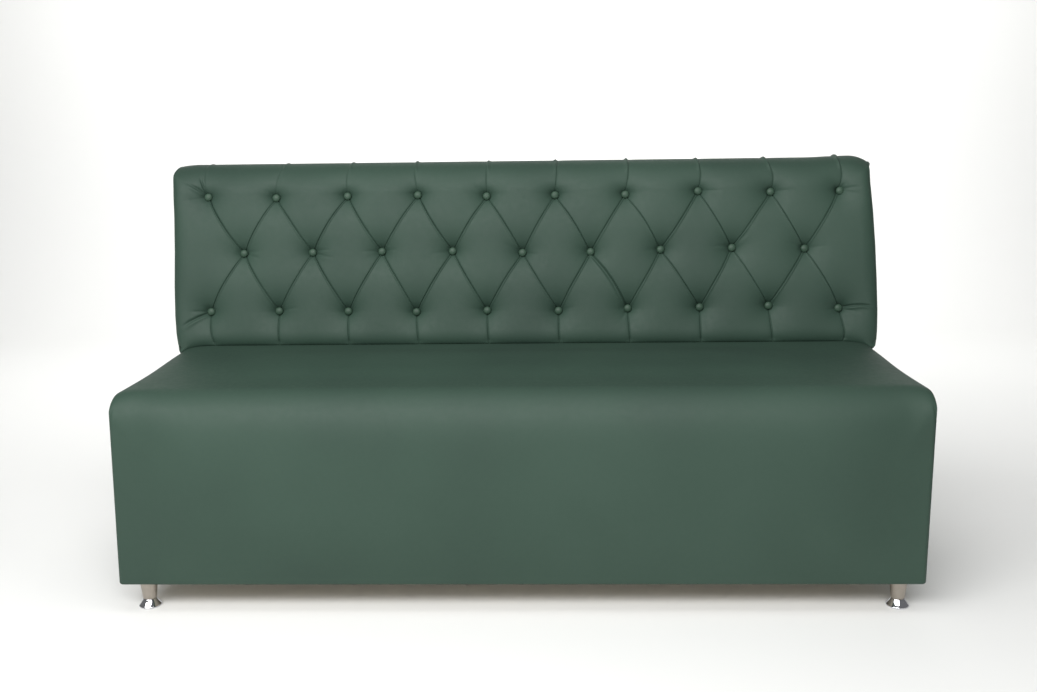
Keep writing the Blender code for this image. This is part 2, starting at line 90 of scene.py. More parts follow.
def fanFaces(loop, tip):
    # triangles from a closed loop of point numbers to one tip
    return np.stack([loop, np.roll(loop, -1), np.full(len(loop), tip)], -1).tolist()


def turned(profile, steps):
    # profile of radius and height, from axis to axis, carried round a circle
    angle = np.linspace(0, 2 * np.pi, steps, endpoint=False)
    radius, height = profile[:, 0][:, None], profile[:, 1][:, None]
    points = np.stack([radius * np.cos(angle), radius * np.sin(angle), height + 0 * angle], -1)
    return points.reshape(-1, 3), gridFaces(len(profile), steps, closeColumns=True)


def cappedTube(rings, tips):
    # rings of points closed round, with a fan to a tip at each end
    rows, columns = rings.shape[:2]
    ring = np.arange(columns)
    faces = gridFaces(rows, columns, closeColumns=True)
    faces += fanFaces(ring, rows * columns) + fanFaces((rows - 1) * columns + ring, rows * columns + 1)
    return np.concatenate([rings.reshape(-1, 3), tips]), faces


def makePiece(name, points, faces, material, body="sofa", slotName=None, replaced=(), weld=1e-6, sharp=None):
    mesh = bpy.data.meshes.new(name)
    mesh.from_pydata(np.asarray(points, float).reshape(-1, 3).tolist(), [], faces)
    work = bmesh.new()
    work.from_mesh(mesh)
    bmesh.ops.remove_doubles(work, verts=work.verts, dist=weld)
    bmesh.ops.dissolve_degenerate(work, edges=work.edges, dist=1e-7)
    bmesh.ops.recalc_face_normals(work, faces=work.faces)
    work.to_mesh(mesh)
    work.free()
    mesh.shade_smooth()
    if sharp:
        mesh.set_sharp_from_angle(angle=math.radians(sharp))
    mesh.materials.append(material)
    piece = bpy.data.objects.new(name, mesh)
    bpy.context.scene.collection.objects.link(piece)
    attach(piece, body)
    if replaced:
        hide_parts(*replaced)
    return piece


def faceOut(piece, direction):
    # turns an open sheet's faces towards a direction and gives its area
    mesh = piece.data
    normal, area = np.empty(3 * len(mesh.polygons)), np.empty(len(mesh.polygons))
    mesh.polygons.foreach_get("normal", normal)
    mesh.polygons.foreach_get("area", area)
    if area @ normal.reshape(-1, 3) @ np.array(direction) < 0:
        mesh.flip_normals()
    return area.sum()


def linearColour(hexCode):
    # sRGB hex to linear light
    srgb = np.array([int(hexCode[i:i + 2], 16) for i in (1, 3, 5)]) / 255
    linear = np.where(srgb <= 0.04045, srgb / 12.92, ((srgb + 0.055) / 1.055) ** 2.4)
    return (*linear.tolist(), 1.0)


def newMaterial(name):
    material = bpy.data.materials.new(name)
    material.use_nodes = True
    material.node_tree.nodes.clear()
    return material


def addNode(material, kind, values=None, links=None, **settings):
    # one node with its settings, its input values, and its inputs' links as (node, output)
    node = material.node_tree.nodes.new(kind)
    for key, value in settings.items():
        setattr(node, key, value)
    for key, value in (values or {}).items():
        node.inputs[key].default_value = value
    for key, (source, output) in (links or {}).items():
        material.node_tree.links.new(source.outputs[output], node.inputs[key])
    return node


# camera, from lines and button places measured in the photograph

viewpoint = dict(place=(0.0657, -2.2889, 0.9338), yaw=-1.759, pitch=11.16, roll=-0.753, focal=1060.3,
                 imageWidth=1037, sensor=36.0)


def standAt(thing, axes, place):
    # puts a camera or lamp into the scene by its three axes and its place
    bpy.context.scene.collection.objects.link(thing)
    rows = [[*row, way] for row, way in zip(np.stack(axes, -1).tolist(), place)]
    thing.matrix_world = Matrix(rows + [[0, 0, 0, 1]])


def addCamera(form):
    yaw, pitch, roll = (math.radians(form[key]) for key in ("yaw", "pitch", "roll"))
    forward = np.array([math.sin(yaw) * math.cos(pitch), math.cos(yaw) * math.cos(pitch), -math.sin(pitch)])
    right = np.array([math.cos(yaw), -math.sin(yaw), 0.0])
    up = np.cross(right, forward)
    across = math.cos(roll) * right + math.sin(roll) * up
    upward = math.cos(roll) * up - math.sin(roll) * right
    data = bpy.data.cameras.new("camera")
    data.sensor_width = form["sensor"]
    data.lens = form["sensor"] * form["focal"] / form["imageWidth"]
    camera = bpy.data.objects.new("camera", data)
    standAt(camera, (across, upward, -forward), form["place"])
    bpy.context.scene.camera = camera


addCamera(viewpoint)
print("camera set")


# finishes

# PVC leatherette, calendered and embossed with a fine pebble grain: half matt, with a broad soft gloss on every bend.
# Grain, crinkle and cloud are sizes in metres; a bump is a strength and a height
leatherTone = dict(dark="#2d4137", main="#30453a", pale="#33483d", roughness=0.61, spread=(-0.04, 0.05), specular=0.33,
                   grain=0.0016, grainBump=(0.16, 0.0002), crinkle=0.011, crinkleBump=(0.10, 0.0006), cloud=0.30)


def bumpValues(bump):
    return dict(zip(("Strength", "Distance"), bump))


def makeLeatherette(name, tone):
    material = newMaterial(name)
    place = addNode(material, "ShaderNodeTexCoord")
    cloud = addNode(material, "ShaderNodeTexNoise", {"Scale": 1 / tone["cloud"], "Detail": 3.0},
                    {"Vector": (place, "Object")})
    pebble = addNode(material, "ShaderNodeTexVoronoi", {"Scale": 1 / tone["grain"]},
                     {"Vector": (place, "Object")}, feature="F1")
    crinkle = addNode(material, "ShaderNodeTexNoise", {"Scale": 1 / tone["crinkle"], "Detail": 4.0, "Roughness": 0.6},
                      {"Vector": (place, "Object")})
    colour = addNode(material, "ShaderNodeValToRGB", links={"Fac": (cloud, "Fac")})
    stops = colour.color_ramp.elements
    stops[0].position, stops[0].color = 0.30, linearColour(tone["dark"])
    stops[1].position, stops[1].color = 0.72, linearColour(tone["pale"])
    stops.new(0.5).color = linearColour(tone["main"])
    smooth, rough = (tone["roughness"] + step for step in tone["spread"])
    gloss = addNode(material, "ShaderNodeMapRange",
                    {"From Min": 0.3, "From Max": 0.7, "To Min": smooth, "To Max": rough}, {"Value": (crinkle, "Fac")})
    fine = addNode(material, "ShaderNodeBump", bumpValues(tone["grainBump"]), {"Height": (pebble, "Distance")})
    soft = addNode(material, "ShaderNodeBump", bumpValues(tone["crinkleBump"]),
                   {"Height": (crinkle, "Fac"), "Normal": (fine, "Normal")})
    shader = addNode(material, "ShaderNodeBsdfPrincipled", {"IOR": 1.5, "Specular IOR Level": tone["specular"]},
                     {"Base Color": (colour, "Color"), "Roughness": (gloss, "Result"), "Normal": (soft, "Normal")})
    addNode(material, "ShaderNodeOutputMaterial", links={"Surface": (shader, "BSDF")})
    return material


greenLeatherette = makeLeatherette("greenLeatherette", leatherTone)
# the same over the buttons, a little paler and glossier: the paler colour is a painted highlight, standing in for the
# light that the small domes catch
buttonTone = dict(leatherTone, dark="#2f4437", main="#33493b", pale="#384e40", roughness=0.50, cloud=0.02)
buttonLeatherette = makeLeatherette("buttonLeatherette", buttonTone)

# birch plywood, rotary cut: pale face with long flame grain along X and faint pores
plywoodTone = dict(early="#ccc5b7", late="#b4ac9d", ring=0.035, stretch=14.0, pore=0.0012, poreBump=(0.2, 0.0003))


def makePlywood(name, tone):
    material = newMaterial(name)
    place = addNode(material, "ShaderNodeTexCoord")
    along = addNode(material, "ShaderNodeMapping", {"Scale": (1 / tone["stretch"], 1.0, 1.0)},
                    {"Vector": (place, "Object")})
    flame = addNode(material, "ShaderNodeTexNoise", {"Scale": 1 / tone["ring"], "Detail": 6.0, "Distortion": 1.2},
                    {"Vector": (along, "Vector")})
    pores = addNode(material, "ShaderNodeTexNoise", {"Scale": 1 / tone["pore"], "Detail": 2.0},
                    {"Vector": (along, "Vector")})
    colour = addNode(material, "ShaderNodeValToRGB", links={"Fac": (flame, "Fac")})
    stops = colour.color_ramp.elements
    stops[0].position, stops[0].color = 0.35, linearColour(tone["early"])
    stops[1].position, stops[1].color = 0.68, linearColour(tone["late"])
    relief = addNode(material, "ShaderNodeBump", bumpValues(tone["poreBump"]), {"Height": (pores, "Fac")})
    rough = addNode(material, "ShaderNodeMapRange", {"To Min": 0.5, "To Max": 0.72}, {"Value": (pores, "Fac")})
    shader = addNode(material, "ShaderNodeBsdfPrincipled", {"Specular IOR Level": 0.35},
                     {"Base Color": (colour, "Color"), "Roughness": (rough, "Result"), "Normal": (relief, "Normal")})
    addNode(material, "ShaderNodeOutputMaterial", links={"Surface": (shader, "BSDF")})
    return material


birchPlywood = makePlywood("birchPlywood", plywoodTone)

latheMarks = dict(across=6.0, haze=0.012, bump=(0.12, 0.00005))


def makeMetal(name, pale, dull, smooth, rough, streak, marks=latheMarks):
    # turned metal: fine rings round the axis, drawn by stretched noise, and a little handling haze
    material = newMaterial(name)
    place = addNode(material, "ShaderNodeTexCoord")
    rings = addNode(material, "ShaderNodeMapping", {"Scale": (marks["across"], marks["across"], 1 / streak)},
                    {"Vector": (place, "Object")})
    lathe = addNode(material, "ShaderNodeTexNoise", {"Scale": 1.0, "Detail": 3.0}, {"Vector": (rings, "Vector")})
    haze = addNode(material, "ShaderNodeTexNoise", {"Scale": 1 / marks["haze"], "Detail": 3.0},
                   {"Vector": (place, "Object")})
    colour = addNode(material, "ShaderNodeMix", {"A": linearColour(dull), "B": linearColour(pale)},
                     {"Factor": (haze, "Fac")}, data_type="RGBA")
    gloss = addNode(material, "ShaderNodeMapRange",
                    {"From Min": 0.3, "From Max": 0.7, "To Min": smooth, "To Max": rough}, {"Value": (haze, "Fac")})
    relief = addNode(material, "ShaderNodeBump", bumpValues(marks["bump"]), {"Height": (lathe, "Fac")})
    shader = addNode(material, "ShaderNodeBsdfPrincipled", {"Metallic": 1.0},
                     {"Base Color": (colour, "Result"), "Roughness": (gloss, "Result"), "Normal": (relief, "Normal")})
    addNode(material, "ShaderNodeOutputMaterial", links={"Surface": (shader, "BSDF")})
    return material


# brushed nickel plating, greyish and soft; bright chrome plating with crisp dark bands; rolled thread in dull zinc
satinNickel = makeMetal("satinNickel", "#b4aca2", "#9c948b", 0.34, 0.46, 0.0006)
polishedChrome = makeMetal("polishedChrome", "#dedfe2", "#cfd0d4", 0.05, 0.10, 0.0012)
zincSteel = makeMetal("zincSteel", "#a9aaa8", "#8f908f", 0.28, 0.42, 0.0005)
print("finishes made")


# sizes that the covers share with the frame

lean = math.radians(9.0)
sinLean, cosLean = math.sin(lean), math.cos(lean)
seatLow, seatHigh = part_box("seat_cover")
seatTop, seatFront, seatRear, hemLevel = 0.462, seatLow.y, seatHigh.y, seatLow.z
fit = 0.0003  # gap between neighbouring pieces
kneeDepth = 0.084
yKnee = seatRear + fit + kneeDepth  # rear face, where it starts to lean
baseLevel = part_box("base_bottom_board")[0].z


def backPlace(x, n, u):
    # n in front of the leaning rear face, u up the lean from seat level
    return np.stack([x, yKnee + u * sinLean - n * cosLean, seatTop + u * cosLean + n * sinLean], -1)


def seatMeets(n):
    # where depth n of the back meets the plane that it stands on
    return (fit - n * sinLean) / cosLean


# seat cover's rounded edges: how far in they start, how far they fall, and how square they are
seat = dict(
    half=0.800, front=seatFront, rear=seatRear, top=seatTop, crown=0.0020, crownFrom=0.12, droop=0.0090, droopFrom=0.25,
    frontBend=(0.062, 0.175, (4.6, 1.6)), endBend=(0.052, 0.055, (1.3, 1.0)), endFrom=0.70,  # run, fall and powers
    sideRun=np.array([0.085, 0.085, 0.058]), sideFall=np.array([0.017, 0.026, 0.013]),  # rear, halfway, front corner
    leftShare=0.88, backShare=0.985, power=2.55, cornerRadius=0.010, hem=0.018, hemRadius=0.005, hemLevel=hemLevel,
    frontBelly=0.0180, bellyFrom=0.62, bellyDepth=(0.02, 0.10),
    leftLean=0.010, leanFrom=0.20, leanRise=0.40, leanReach=0.15,
    acrossSteps=96, depthSteps=36, bendSteps=28, rollSteps=25, wallSteps=30, thickness=0.0014)


def seatFall(x):
    # superellipse of the seat's rear ends, followed as far as the back's own end
    run, power = seat["sideRun"][0], seat["power"]
    share = np.clip((np.abs(x) - seat["half"] + run) / run, 0, seat["backShare"])
    return seat["sideFall"][0] * (1 - (1 - share ** power) ** (1 / power))


# tufted pad

pad = dict(
    half=0.8107, crest=0.1367, slab=0.0707, rear=0.0018, length=0.404, topInner=0.396, sink=0.0010,
    footRun=0.015, footRise=0.036, footBend=(20, 1.4), topRun=0.090, topFall=0.080, topRise=0.0085, topBend=(68, 1.0),
    rimReach=0.034, rimDepth=0.018, topRimReach=0.004,
    topCornerDrop=(0.004, 0.015), cornerReach=0.045, rightSwell=0.003,
    pitch=0.1635, rows=(0.059653, 0.193676, 0.3277), counts=(10, 9, 10), driftReach=0.045,
    hollow=0.0230, hollowReach=0.031, dimple=0.0070, dimpleReach=0.011,
    valley=0.0022, valleyWidth=0.011, crease=0.0027, creaseWidth=0.0006, lip=0.0025, lipPlace=0.0023, lipWidth=0.0013,
    widePleat=12, wideLip=2.2,
    upright=0.0026, uprightWidth=0.009, uprightCrease=0.0024, footStrength=1.25, footCreaseWidth=0.0011,
    topReach=0.085, footReach=0.075, hump=0.0037, humpPlace=0.0042, humpWidth=0.0036,
)
# how far each end of the cover is drawn out (+) or in, in mm, at heights up the lean
endHeights = np.array([-0.022, -0.012, 0.0, 0.02, 0.05, 0.12, 0.20, 0.28, 0.34, 0.404])
endDraw = {-1: np.array([-12.0, -7.0, -2.5, 0.8, 2.8, 3.0, 1.0, 0.5, 1.5, 3.0]) / 1000,
           1: np.array([-8.0, 1.0, 5.0, 6.5, 7.0, 5.0, 1.5, -4.0, -10.0, -13.0]) / 1000}
# how far the needle missed the marks, in mm across and up, row by row from the bottom
drift = [
    [(4.5, 0.1), (1.9, 0.5), (1.5, -1.3), (-1.6, -4.0), (0.7, -1.9),
     (3.3, -3.7), (0.8, 0.5), (3.5, 1.7), (-1.2, 4.0), (-4.5, -3.0)],
    [(2.8, 2.1), (1.5, 2.7), (0.9, 3.4), (2.8, 2.9), (2.3, -2.2),
     (-3.0, -1.9), (-4.5, 1.9), (-3.6, 4.5), (-0.2, 1.3)],
    [(2.8, 0.3), (-0.9, -3.2), (3.3, -0.9), (4.5, 0.0), (1.6, -4.5),
     (-3.2, -3.6), (-4.0, -3.9), (0.1, 1.8), (3.5, -1.7), (-1.4, -0.8)],
]
topLean = np.array([-6, 12, 5, -6, 0, 3, 6, 6, 1, 3]) / 1000  # sideways run of each upright pleat at the top edge
topBow = np.array([-1, 0, 0, 0, 1, 1, 2, 4, 6, 7]) / 1000
topStrength = np.array([0.5, 0.5, 0.55, 0.7, 0.8, 0.9, 1.0, 1.1, 1.1, 1.1])  # the left ones lie flatter
footLean = np.array([11, 4, 5, 4, 4, 5, 5, 5, 6, 6]) / 1000  # the same at the seat
# short folds that run out of a button: row, number, angle, length mm, depth mm, half width mm, bend per metre
folds = [
    (2, 0, 126, 60, 4.4, 3.0, 5), (2, 0, 105, 62, 3.8, 2.4, 0), (2, 0, 196, 58, 1.3, 4.0, -2),
    (2, 1, 140, 34, 0.8, 3.4, 0), (2, 4, 132, 40, 1.4, 2.6, 0),
    (2, 7, 1, 54, 1.0, 3.0, 0), (2, 8, 2, 56, 1.0, 3.2, 0),
    (2, 9, 18, 62, 1.2, 3.4, -4), (2, 9, -8, 56, 1.0, 3.4, -2), (2, 9, 48, 32, 0.8, 3.0, 0),
    (1, 0, 14, 46, 0.9, 3.2, -3), (1, 0, -16, 52, 1.0, 3.0, 0),
    (1, 1, 18, 46, 1.3, 2.6, -3), (1, 1, -18, 56, 1.5, 2.6, 2), (1, 2, 176, 50, 0.8, 3.2, 0),
    (1, 2, 10, 42, 0.8, 3.2, 0), (1, 3, 186, 48, 0.6, 3.4, 0), (1, 4, 154, 54, 1.3, 2.6, 0),
    (1, 4, -10, 46, 0.7, 3.2, 0), (1, 5, 165, 44, 0.6, 3.2, 0), (1, 6, 180, 46, 0.8, 3.2, 0),
    (1, 7, 166, 54, 1.3, 2.8, 2), (1, 7, 50, 58, 1.4, 2.8, 0),
    (1, 8, 156, 48, 1.1, 2.8, 2), (1, 8, 8, 50, 0.6, 3.4, 0),
    (0, 0, 208, 78, 5.4, 2.6, 0), (0, 0, 178, 44, 1.4, 3.0, 0), (0, 1, 10, 54, 0.9, 3.0, 0),
    (0, 4, 172, 44, 0.6, 3.2, 0), (0, 5, 10, 44, 0.6, 3.2, 0),
    (0, 6, 240, 40, 0.8, 3.0, 0), (0, 8, 170, 40, 0.6, 3.2, 0),
    (0, 9, 20, 76, 4.8, 2.4, -6), (0, 9, 188, 44, 0.6, 3.2, 0), (0, 9, -18, 46, 1.3, 3.0, 0),
]


# sideways bow of each slanting pleat, mm: lower then upper half, left then right line of each button
bows = np.zeros((2, 2, 10))
across = np.linspace(-1, 1, 10)
risingBow = np.where(across < 0.1, -0.6, -1.6)    # lines that climb to the right hang to the left on the left half
fallingBow = np.where(across > -0.1, 0.6, 1.6)
bows[0, 0], bows[0, 1] = fallingBow, risingBow
bows[1, 0], bows[1, 1] = risingBow, fallingBow
bows = (bows + rng.normal(0, 0.9, bows.shape)) / 1000
bows[0, 0, 6] = 0.0070    # one wide fold, left of the seventh button of the lowest row


def buttonMarks(form):
    # place across and height up the lean of each button's mark, by row and number
    return {(r, k): (-form["pitch"] * (n - 1) / 2 + k * form["pitch"], form["rows"][r])
            for r, n in enumerate(form["counts"]) for k in range(n)}


def padProfile(form):
    # section of the pad: seat line, rounded foot, leaning front, rounded top, top line to the rear.
    # Gives n, u, the outward direction and the unrolled height s, which equals u on the front
    inner = (form["slab"], seatMeets(form["slab"]) - form["sink"])
    rear = (form["rear"], form["length"])
    away, along = softBend(*form["footBend"])
    heelLevel = seatMeets(form["crest"] - form["footRun"]) - form["sink"]
    lowArc = np.stack([form["crest"] - form["footRun"] * away, heelLevel + form["footRise"] * (1 - along)], -1)[::-1]
    away, along = softBend(*form["topBend"])
    topLevel = form["length"] + form["topRise"]
    highArc = np.stack([form["crest"] - form["topRun"] * away, topLevel - form["topFall"] * (1 - along)], -1)
    marks = [lowArc[-1, 1], *form["rows"], highArc[0, 1]]
    steps = [crowd(24, False), crowd(56), crowd(56), crowd(5, False, False)]
    climb = np.concatenate([a + (b - a) * t[1:] for a, b, t in zip(marks, marks[1:], steps)])[:-1]
    front = np.stack([np.full(len(climb), form["crest"]), climb], -1)
    start = np.asarray(inner) + (lowArc[0] - inner) * np.linspace(0, 1, 8)[:-1, None]
    finish = highArc[-1] + (np.asarray(rear) - highArc[-1]) * np.linspace(0, 1, 22)[1:, None]
    line = np.concatenate([start, lowArc, front, highArc, finish])
    run = np.concatenate([[0], np.cumsum(np.linalg.norm(np.diff(line, axis=0), axis=1))])
    run += lowArc[-1, 1] - run[len(start) + len(lowArc) - 1]
    along = np.gradient(line, run, axis=0)
    along /= np.linalg.norm(along, axis=1)[:, None]
    return line, np.stack([along[:, 1], -along[:, 0]], -1), run


def uprightRun(form, s):
    # sideways place of the upright pleats, nought between the outer rows of buttons
    low, high = form["rows"][0], form["rows"][-1]
    up = np.clip((s - high) / form["topReach"], 0, None)[:, None]
    down = np.clip((low - s) / form["footReach"], 0, None)[:, None]
    return (topLean * np.minimum(up, 1) ** 1.5 + topBow * np.sin(np.pi * np.clip(up, 0, 1))
            + footLean * np.minimum(down, 1.2) ** 1.3)


def pleatKnots(form, s):
    # x of every pleat line at height s: between two rows each button sends one line up left and one up right,
    # above and below the rows the two run as a narrow band beside the upright pleat
    low, middle, high = form["rows"]
    step = form["pitch"] / 2
    b = np.where(s < middle, (s - middle) / (middle - low), (s - middle) / (high - middle))
    beyond = np.abs(b) - 1
    spread = np.where(beyond < 0, np.clip(-beyond, 0.012, 0.988), 0.012 + 0.078 * ease(0, 0.16, beyond))
    first = -step * (form["counts"][2] - 1)
    centre = first + form["pitch"] * np.arange(10)[None] + uprightRun(form, s)
    left = centre - step * spread[:, None]
    right = centre + step * spread[:, None]
    bow = np.sin(np.pi * np.clip(np.abs(b), 0, 1))[:, None]
    up = (b > 0)[:, None]
    left += bow * np.where(up, bows[1, 0], bows[0, 0])
    right += bow * np.where(up, bows[1, 1], bows[0, 1])
    left[:, 0] = centre[:, 0] - 0.5 * step * spread
    right[:, -1] = centre[:, -1] + 0.5 * step * spread
    return b, centre, np.stack([left, right], -1).reshape(len(s), -1)


def tuftedPad(form):
    # the section carried across, then pressed in along its outward direction by all its hollows, pleats and folds
    line, outward, run = padProfile(form)
    b, centre, knots = pleatKnots(form, run)
    ends = np.full((len(run), 1), form["half"])
    bounds = np.hstack([-ends, knots, ends])
    steps = [crowd(46)[:-1]] + [crowd(30, share=0.9)[:-1]] * (bounds.shape[1] - 3) + [crowd(46)]
    starts, spans = bounds[:, :-1, None], np.diff(bounds, axis=1)[..., None]
    x = np.hstack([starts[:, k] + spans[:, k] * t[None] for k, t in enumerate(steps)])
    s = np.repeat(run[:, None], x.shape[1], 1)
    low, middle = form["rows"][:2]
    slant = (middle - low) / math.hypot(middle - low, form["pitch"] / 2)
    marks = buttonMarks(form)
    depth = np.zeros_like(x)
    # hollow round each button
    for bx, bu in marks.values():
        far = np.hypot(x - bx, s - bu)
        depth += form["hollow"] * np.exp(-(far / form["hollowReach"]) ** 1.25)
        depth += form["dimple"] * np.exp(-(far / form["dimpleReach"]) ** 2)
    # slanting pleats: a soft valley, a sharp crease, and a lip along the lower side; their strength varies
    slanting = (1 - ease(1.0, 1.07, np.abs(b)))[:, None]
    for k in range(1, knots.shape[1] - 1):
        side = (x - knots[:, k:k + 1]) * slant
        far = np.abs(side)
        rises = (b[:, None] < 0) == (k % 2 == 1)
        below = np.where(rises, side, -side)
        strength = slanting * (0.85 + 0.3 * ((k * 37) % 10) / 10)
        lip = np.where(b[:, None] < 0, form["wideLip"] if k == form["widePleat"] else 1.0, 1.0)
        depth += slanting * form["valley"] * np.exp(-far / form["valleyWidth"])
        depth += strength * form["crease"] * np.exp(-far / form["creaseWidth"])
        ridge = (below - form["lipPlace"] * lip) / (form["lipWidth"] * lip)
        depth -= strength * form["lip"] * lip * np.exp(-ridge ** 2)
    # upright pleats above the top row and below the bottom row; the upper ones end in a small hump on the top edge
    upright = ease(0.97, 1.06, np.abs(b))[:, None]
    over = ease(form["length"] - 0.030, form["length"] + 0.004, run)[:, None]
    back = 1 - 0.6 * ease(form["length"] + 0.06, form["length"] + 0.12, run)[:, None]
    atFoot = (b < 0)[:, None]
    creaseWidth = np.where(atFoot, form["footCreaseWidth"], form["creaseWidth"])
    footCreases = np.zeros_like(x)
    for k, topPull in enumerate(topStrength):
        side = x - centre[:, k:k + 1]
        far = np.abs(side)
        pull = upright * (1 - 0.72 * over) * np.where(atFoot, form["footStrength"], topPull)
        crease = pull * form["uprightCrease"] * np.exp(-far / creaseWidth)
        depth += pull * form["upright"] * np.exp(-far / form["uprightWidth"]) + crease
        footCreases += atFoot * crease
        towards = side if k < 5 else -side
        height = form["hump"] * topPull * (0.75 + 0.5 * ((k * 53) % 10) / 10)
        depth -= over * back * height * np.exp(-((towards - form["humpPlace"]) / form["humpWidth"]) ** 2)
    # short folds out of the buttons, each with a low ridge along its lower side
    for r, k, angle, length, deep, width, bend in folds:
        bx, bu = marks[r, k]
        turn = math.radians(angle)
        along = (x - bx) * math.cos(turn) + (s - bu) * math.sin(turn)
        aside = (s - bu) * math.cos(turn) - (x - bx) * math.sin(turn) - bend * along ** 2
        offset = aside * 1000 / width
        flip = 1.0 if math.cos(turn) > 0 else -1.0
        fade = ease(0.004, 0.012, along) * (1 - ease(0.5 * length / 1000, length / 1000, along))
        depth += fade * deep / 1000 * (np.exp(-offset ** 2) - 0.45 * np.exp(-((flip * offset + 2.1) / 1.5) ** 2))
    # rim rounded as a flat ellipse at the front, sharp on top, with the top corners sewn down
    front = ease(0.72, 1.0, outward[:, :1])
    edge = form["half"] - np.abs(x)
    depth *= ease(-0.002, 0.030, edge)
    rim = form["topRimReach"] + (form["rimReach"] - form["topRimReach"]) * front
    inside = np.clip(1 - edge / rim, 0, 1)
    depth += form["rimDepth"] * rim / form["rimReach"] * (1 - np.sqrt(1 - inside ** 2))
    onTop = ease(0.3, 1.0, outward[:, 1:]) * ease(0.004, 0.045, line[:, :1])
    corner = np.where(x < 0, *form["topCornerDrop"]) * np.clip(1 - edge / form["cornerReach"], 0, 1) ** 2
    depth += onTop * (corner - form["rightSwell"] * ease(0.66, 0.76, x))
    # the foot is plain where it lies on the seat; only its creases run on until they are out of sight
    under = -outward[:, 1:]
    depth *= 1 - ease(0.45, 1.0, under)
    depth += footCreases * (ease(0.45, 1.0, under) - ease(0.85, 1.0, under))
    # the top stays clear of the lining under it
    spare = line[:, 1:] - form["topInner"] - 0.0004 + 0.03 * ease(0.072, 0.100, line[:, :1])
    depth = np.where(outward[:, 1:] > 0.65, np.minimum(depth, spare), depth)
    # the marks missed by the needle carry the cover with them
    pull, shiftX, shiftU = (np.zeros_like(x) for _ in range(3))
    for (r, k), (bx, bu) in marks.items():
        weight = np.exp(-((x - bx) ** 2 + (s - bu) ** 2) / form["driftReach"] ** 2)
        pull += weight
        shiftX += weight * drift[r][k][0] / 1000
        shiftU += weight * drift[r][k][1] / 1000
    settle = ease(0.0, 0.05, edge) / np.maximum(pull, 1)
    place = s + shiftU * settle
    n, u = (np.interp(place, run, line[:, i]) - depth * np.interp(place, run, outward[:, i]) for i in (0, 1))
    # the ends stand a little out or in, and the foot sinks with the rounded ends of the seat
    draw = np.where(x < 0, -np.interp(u, endHeights, endDraw[-1]), np.interp(u, endHeights, endDraw[1]))
    reach = ease(0.66, form["half"], np.abs(x)) * ease(form["slab"], form["slab"] + 0.035, n)
    reach = reach * np.where(s < middle, 1, ease(0.0, 1.0, outward[:, :1]))
    x = x + shiftX * settle + draw * reach
    sunk = seatFall(x) + 0.005 * ease(0.74, 0.80, np.abs(x))
    u = u - sunk * (1 - ease(-0.01, 0.055, u)) * (s < middle)
    outer = backPlace(x, n, u)
    # flat lining behind, then a fan closes each end
    wide = np.ones(x.shape[1])
    lining = np.stack([backPlace(x[-1], n0 * wide, form["topInner"] * wide) for n0 in (form["rear"], form["slab"])])
    points = np.concatenate([outer, lining])
    rows, columns = points.shape[:2]
    faces = gridFaces(rows, columns, closeRows=True)
    tips = points[:, [0, -1]].mean(0)
    numbers = np.arange(rows) * columns
    faces += fanFaces(numbers, rows * columns) + fanFaces(numbers + columns - 1, rows * columns + 1)
    return np.concatenate([points.reshape(-1, 3), tips]), faces, {-1: outer[:, 0], 1: outer[:, -1]}


padPoints, padFaces, padRims = tuftedPad(pad)
padPiece = makePiece("tuftedPad", padPoints, padFaces, greenLeatherette,
                     slotName="green_leatherette", replaced=("tufted_pad", "back_foam"))
print("tufted pad:", len(padPiece.data.polygons), "faces")


# covered buttons: a domed cap gathered under its rim, its twine and the toggle behind the panel

button = dict(radius=0.0091, height=0.0058, seat=0.1142, rim=0.0012, twine=0.0015,
              toggle=0.0080, toggleLevel=0.0585, toggleDepth=0.0030, steps=36)


def buttonProfile(form):
    # quarter ellipse for the dome, a small rolled rim, then straight down the twine to a flat toggle
    t = np.linspace(0, np.pi / 2, 14)
    dome = np.stack([form["radius"] * np.sin(t), form["seat"] + form["height"] * np.cos(t) ** 0.9], -1)
    roll = np.linspace(0, np.pi, 6)[1:]
    rim = np.stack([form["radius"] - form["rim"] * (1 - np.cos(roll)) / 2,
                    form["seat"] - form["rim"] * np.sin(roll)], -1)
    high, low, toggle = form["toggleLevel"], form["toggleLevel"] - form["toggleDepth"], form["toggle"]
    stem = np.array([(form["twine"], form["seat"] - 0.0005), (form["twine"], high), (toggle - 0.0006, high),
                     (toggle, high - 0.0008), (toggle, low + 0.0006), (toggle - 0.0006, low), (0, low)])
    return np.concatenate([dome, rim, stem])


buttonLocal, buttonFaces = turned(buttonProfile(button), button["steps"])
rowNames = ("bottom", "mid", "top")
for (r, k), (markX, markU) in buttonMarks(pad).items():
    missX, missU = drift[r][k]
    x, u = markX + missX / 1000 + buttonLocal[:, 0], markU + missU / 1000 + buttonLocal[:, 1]
    points = backPlace(x, buttonLocal[:, 2], u)
    makePiece(f"coveredButton.{rowNames[r]}.{k + 1:02d}", points, buttonFaces, buttonLeatherette,
              slotName="button_leatherette", replaced=(f"button_{rowNames[r]}_{k + 1:02d}",))
print("29 covered buttons")


# side boxing, rear cover and the welt between pad and boxing

caseHalf = 0.8125
# the front edge is turned in by three columns: round the upright beside the seat, into the pad above it
boxing = dict(
    half=caseHalf, inset=0.0006, joint=seatRear + fit, bulge=0.0016, gap=0.002, rimGap=0.0010, settle=0.34,
    lowTuck=np.array([(0.7970, -0.00015), (0.8045, -0.0002), (0.8112, -0.0012)]),
    rimTuck=np.array([(-0.0018, 0.0006, 0), (-0.0012, 0.0004, 0), (-0.0006, 0.0002, 0)]),
    columns=14, lowSteps=26, thickness=0.0014)


